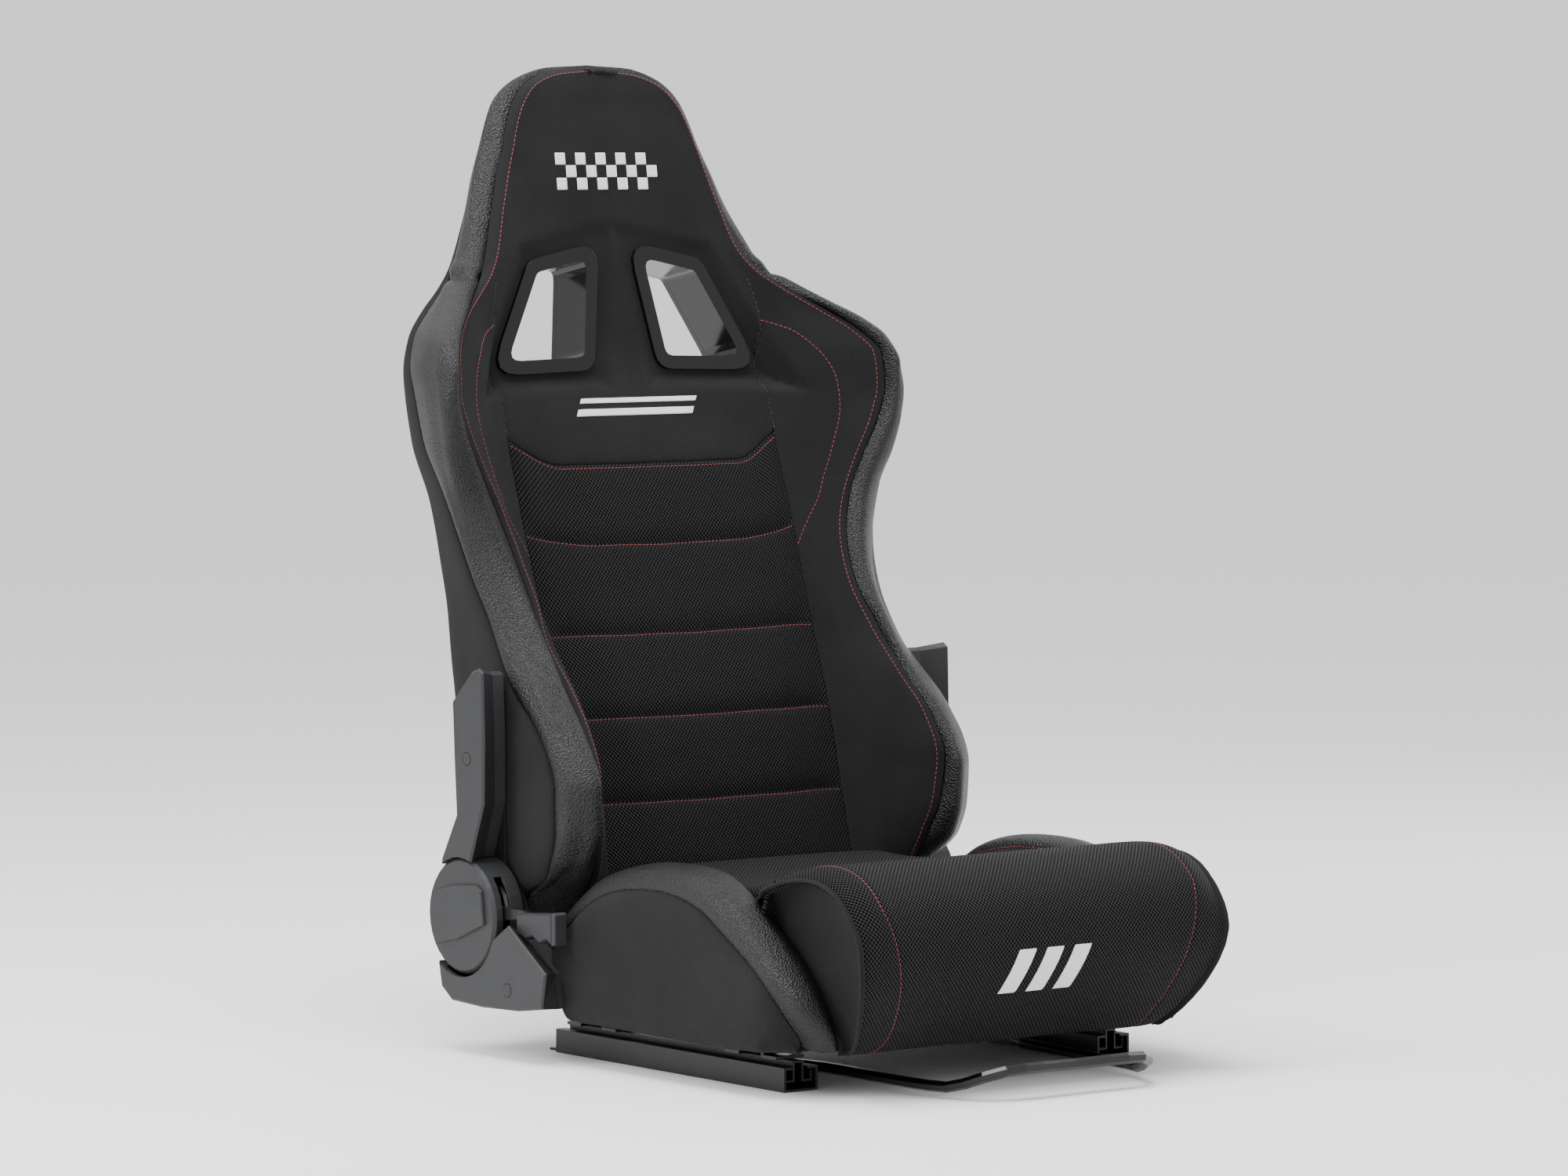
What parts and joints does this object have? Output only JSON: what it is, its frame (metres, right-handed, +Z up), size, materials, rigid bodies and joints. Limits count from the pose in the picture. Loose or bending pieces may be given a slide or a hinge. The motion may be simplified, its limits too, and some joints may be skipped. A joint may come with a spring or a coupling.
{
  "type": "racing seat",
  "caption": "Reclining bucket-style racing seat with two harness openings, side recliners with a lever, and slide rails with a release bar.",
  "frame": {"origin": "on the floor under the middle of the seat's bounding box, at the underside of the rails", "axes": "+Z up; the seat faces -Y; +X towards the sitter's left, away from the recline lever"},
  "size_m": [0.554, 0.7651, 0.918],
  "materials": {
    "black_steel": "black powder coat, satin",
    "spring_steel": "bare spring wire",
    "zinc_steel": "zinc plated",
    "nylon": "natural nylon",
    "gloss_bar": "gloss black paint",
    "gloss_trim": "high gloss black",
    "satin_plastic": "fine grained charcoal",
    "spacer_mesh": "black open spacer mesh",
    "leather": "pebble grained synthetic leather over foam",
    "woven_fabric": "fine black weave",
    "red_thread": "red sewing thread",
    "black_thread": "black sewing thread",
    "white_thread": "white embroidery"
  },
  "bodies": {
    "rails": {"lower_rail_left": "black_steel", "lower_rail_right": "black_steel"},
    "roller_cages": {"roller_cage_left": "nylon", "roller_cage_right": "nylon"},
    "carriage": {"upper_rail_left": "black_steel", "upper_rail_right": "black_steel", "front_bracket_left": "black_steel", "front_bracket_right": "black_steel", "rear_bracket_left": "black_steel", "rear_bracket_right": "black_steel", "front_bolt_left": "zinc_steel", "front_bolt_right": "zinc_steel", "rear_bolt_left": "zinc_steel", "rear_bolt_right": "zinc_steel", "cushion_side_plate_left": "black_steel", "cushion_side_plate_right": "black_steel", "front_cross_tube": "black_steel", "rear_cross_tube": "black_steel", "cushion_spring_1": "spring_steel", "cushion_spring_2": "spring_steel", "cushion_spring_3": "spring_steel", "cushion_pad": "spacer_mesh", "thigh_bolster_left": "leather", "thigh_bolster_right": "leather", "recliner_base_plate_left": "black_steel", "recliner_base_plate_right": "black_steel", "recliner_cover_left": "satin_plastic", "recliner_cover_right": "satin_plastic", "lower_cover_left": "satin_plastic", "lower_cover_right": "satin_plastic", "lower_cover_cap_left": "satin_plastic", "lower_cover_cap_right": "satin_plastic", "recliner_spring_left": "spring_steel", "recliner_spring_right": "spring_steel"},
    "backrest": {"backrest_arm_left": "black_steel", "backrest_arm_right": "black_steel", "arm_cover_left": "satin_plastic", "arm_cover_right": "satin_plastic", "arm_cover_cap_left": "satin_plastic", "arm_cover_cap_right": "satin_plastic", "backrest_hoop": "black_steel", "backrest_cross_tube": "black_steel", "backrest_spring_1": "spring_steel", "backrest_spring_2": "spring_steel", "harness_bezel_left": "gloss_trim", "harness_bezel_right": "gloss_trim", "harness_rear_ring_left": "gloss_trim", "harness_rear_ring_right": "gloss_trim", "backrest_pad": "spacer_mesh", "side_bolster_left": "leather", "side_bolster_right": "leather", "headrest_pad": "woven_fabric", "backrest_rear_panel": "woven_fabric"},
    "recline_lever": {"recliner_shaft": "zinc_steel", "recline_lever_arm": "black_steel", "recline_lever_grip": "satin_plastic", "recline_lever_tip": "satin_plastic"},
    "release_bar": {"release_bar": "gloss_bar", "rail_latch_left": "zinc_steel", "rail_latch_right": "zinc_steel"}
  },
  "joints": [
    {"name": "seat_slide", "type": "slide", "parent": "rails", "child": "carriage", "axis": [0, -1, 0], "range_m": [-0.09, 0.09]},
    {"name": "roller_travel", "type": "slide", "parent": "rails", "child": "roller_cages", "axis": [0, -1, 0], "range_m": [-0.045, 0.045]},
    {"name": "recline", "type": "hinge", "parent": "carriage", "child": "backrest", "pos_m": [0, 0.183, 0.128], "axis": [1, 0, 0], "range_deg": [-52, 10]},
    {"name": "recline_lever", "type": "hinge", "parent": "carriage", "child": "recline_lever", "pos_m": [0, 0.183, 0.128], "axis": [-1, 0, 0], "range_deg": [0, 20], "stiffness_Nm_per_rad": 2, "springref_deg": -6.88},
    {"name": "slide_release", "type": "hinge", "parent": "carriage", "child": "release_bar", "pos_m": [0, -0.048, 0.014], "axis": [-1, 0, 0], "range_deg": [0, 4.5], "stiffness_Nm_per_rad": 12, "springref_deg": -6.88}
  ],
  "couplings": [
    {"joint": "roller_travel", "follows": "seat_slide", "ratio": 0.5}
  ]
}
